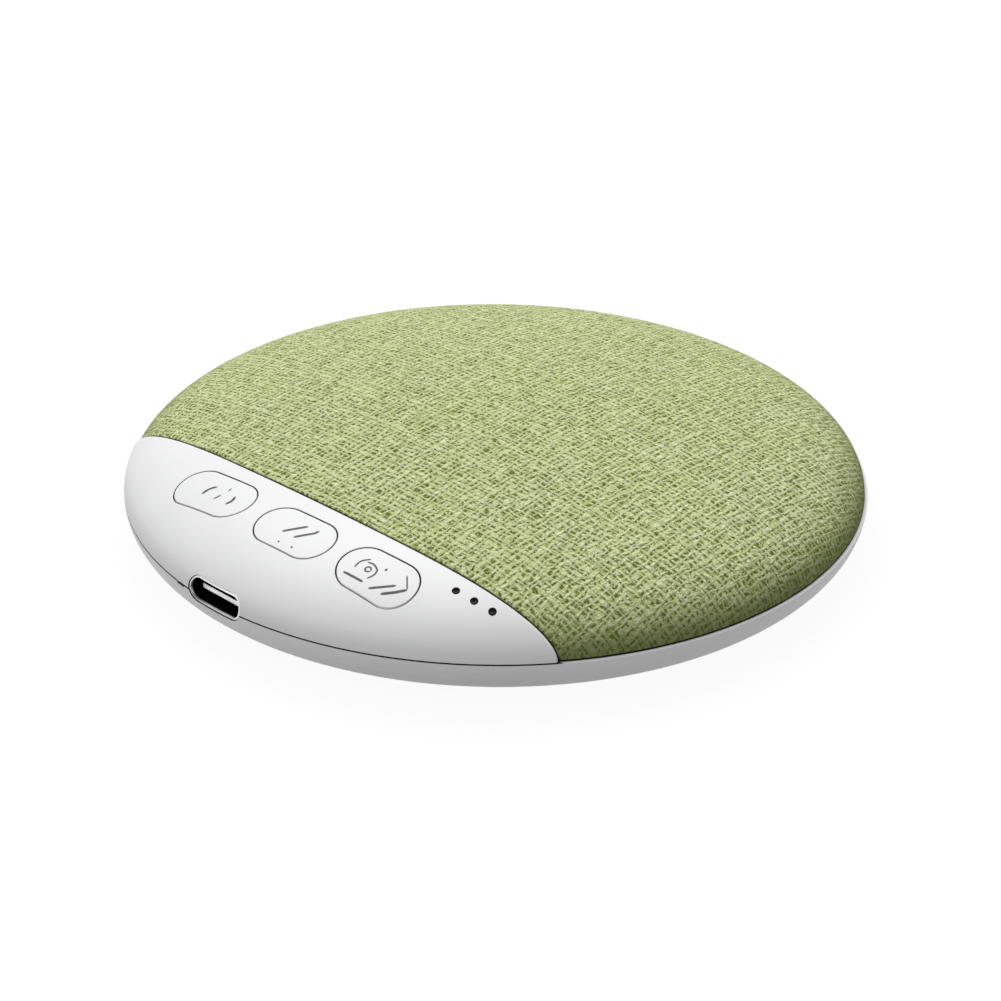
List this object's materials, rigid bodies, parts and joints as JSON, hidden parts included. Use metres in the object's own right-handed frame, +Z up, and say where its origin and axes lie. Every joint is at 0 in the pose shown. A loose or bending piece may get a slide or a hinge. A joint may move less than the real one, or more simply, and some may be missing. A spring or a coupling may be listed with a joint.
{
  "type": "white noise sound machine",
  "caption": "Flat round bedside sound machine: white moulded base and key panel, cloth-covered domed speaker grille, flush press keys, indicator lamps and a charging port in the rim.",
  "frame": {"origin": "centre of the bounding box on the surface that the four feet stand on", "axes": "+Z up through the domed top; -Y towards the control panel and charging port; +X to the right as seen from above with the panel nearest"},
  "size_m": [0.096, 0.0959, 0.0162],
  "materials": {
    "white_shell": "fine satin texture",
    "key_cap": "satin",
    "cloth": "slubby linen-look weave, matte",
    "grille_plastic": "matte",
    "switch_plastic": "matte",
    "switch_plunger": "satin",
    "smoked_guide": "smoked clear",
    "lamp": "glossy",
    "board": "solder mask",
    "chip": "moulded",
    "ceramic": "sintered",
    "port_steel": "bright",
    "port_blade": "moulded",
    "screw_steel": "zinc plated",
    "foot_rubber": "matte",
    "pouch": "laminated foil",
    "foam": "open cell",
    "lead": "insulated wire",
    "connector": "moulded",
    "speaker_steel": "satin black",
    "plated_steel": "nickel plated",
    "magnet": "nickel plated",
    "copper": "enamelled winding",
    "paper": "pressed paper",
    "surround_rubber": "satin",
    "dust_screen": "non-woven"
  },
  "bodies": {
    "housing": {"base_shell": "white_shell", "upper_housing": "white_shell", "grille_carrier": "grille_plastic", "fabric_cover": "cloth", "tact_switches": "switch_plastic", "light_guide": "smoked_guide", "status_leds": "lamp", "main_board": "board", "processor_chip": "chip", "memory_chip": "chip", "amplifier_chip": "chip", "power_inductor": "chip", "chip_capacitors": "ceramic", "usb_shell": "port_steel", "usb_tongue": "port_blade", "case_screws": "screw_steel", "board_screws": "screw_steel", "speaker_screws": "screw_steel", "rubber_feet": "foot_rubber", "battery_cell": "pouch", "battery_pad": "foam", "battery_leads": "lead", "battery_connector": "connector", "speaker_connector": "connector", "speaker_leads": "lead", "speaker_frame": "speaker_steel", "speaker_yoke": "plated_steel", "speaker_magnet": "magnet", "speaker_top_plate": "plated_steel", "speaker_surround": "surround_rubber", "speaker_gasket": "foam", "speaker_mesh": "dust_screen", "speaker_terminals": "board", "magnet_pad": "foam"},
    "power_key": {"power_button": "key_cap", "power_plunger": "switch_plunger"},
    "play_key": {"play_button": "key_cap", "play_plunger": "switch_plunger"},
    "timer_key": {"timer_button": "key_cap", "timer_plunger": "switch_plunger"},
    "diaphragm": {"speaker_cone": "paper", "dust_cap": "paper", "voice_coil": "copper"}
  },
  "joints": [
    {"name": "power_press", "type": "slide", "parent": "housing", "child": "power_key", "axis": [0, 0, -1], "range_m": [0, 0.0003], "stiffness_N_per_m": 500},
    {"name": "play_press", "type": "slide", "parent": "housing", "child": "play_key", "axis": [0, 0, -1], "range_m": [0, 0.0003], "stiffness_N_per_m": 500},
    {"name": "timer_press", "type": "slide", "parent": "housing", "child": "timer_key", "axis": [0, 0, -1], "range_m": [0, 0.0003], "stiffness_N_per_m": 500},
    {"name": "diaphragm_travel", "type": "slide", "parent": "housing", "child": "diaphragm", "axis": [0, 0, 1], "range_m": [-0.0004, 0.0004], "stiffness_N_per_m": 1500, "deforming": ["speaker_surround"]}
  ]
}
